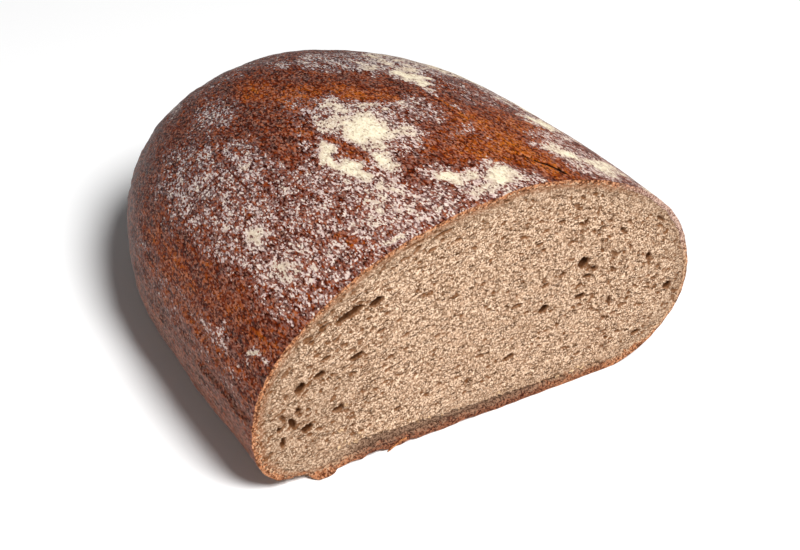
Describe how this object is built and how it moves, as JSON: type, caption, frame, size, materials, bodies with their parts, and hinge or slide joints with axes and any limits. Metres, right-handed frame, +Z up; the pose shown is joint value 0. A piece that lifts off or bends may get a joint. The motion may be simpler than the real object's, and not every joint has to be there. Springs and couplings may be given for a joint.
{
  "type": "rye bread loaf",
  "caption": "Half of a free-standing rye loaf, cut straight across: domed floured crust, rounded end, flat base, and a cut face of fine crumb with gas holes",
  "frame": {"origin": "middle of the base, on the surface the loaf rests on", "axes": "+Z up, +X across the cut face to the right as one looks at it, -Y out of the cut face, +Y towards the rounded end of the loaf"},
  "size_m": [0.1789, 0.1721, 0.0915],
  "materials": {
    "rye_crust": "baked rye crust, matt to satin, dusted with flour",
    "rye_crumb": "matt open crumb of a cut rye loaf"
  },
  "bodies": {
    "root": {"rye_loaf": "rye_crust"}
  },
  "joints": []
}
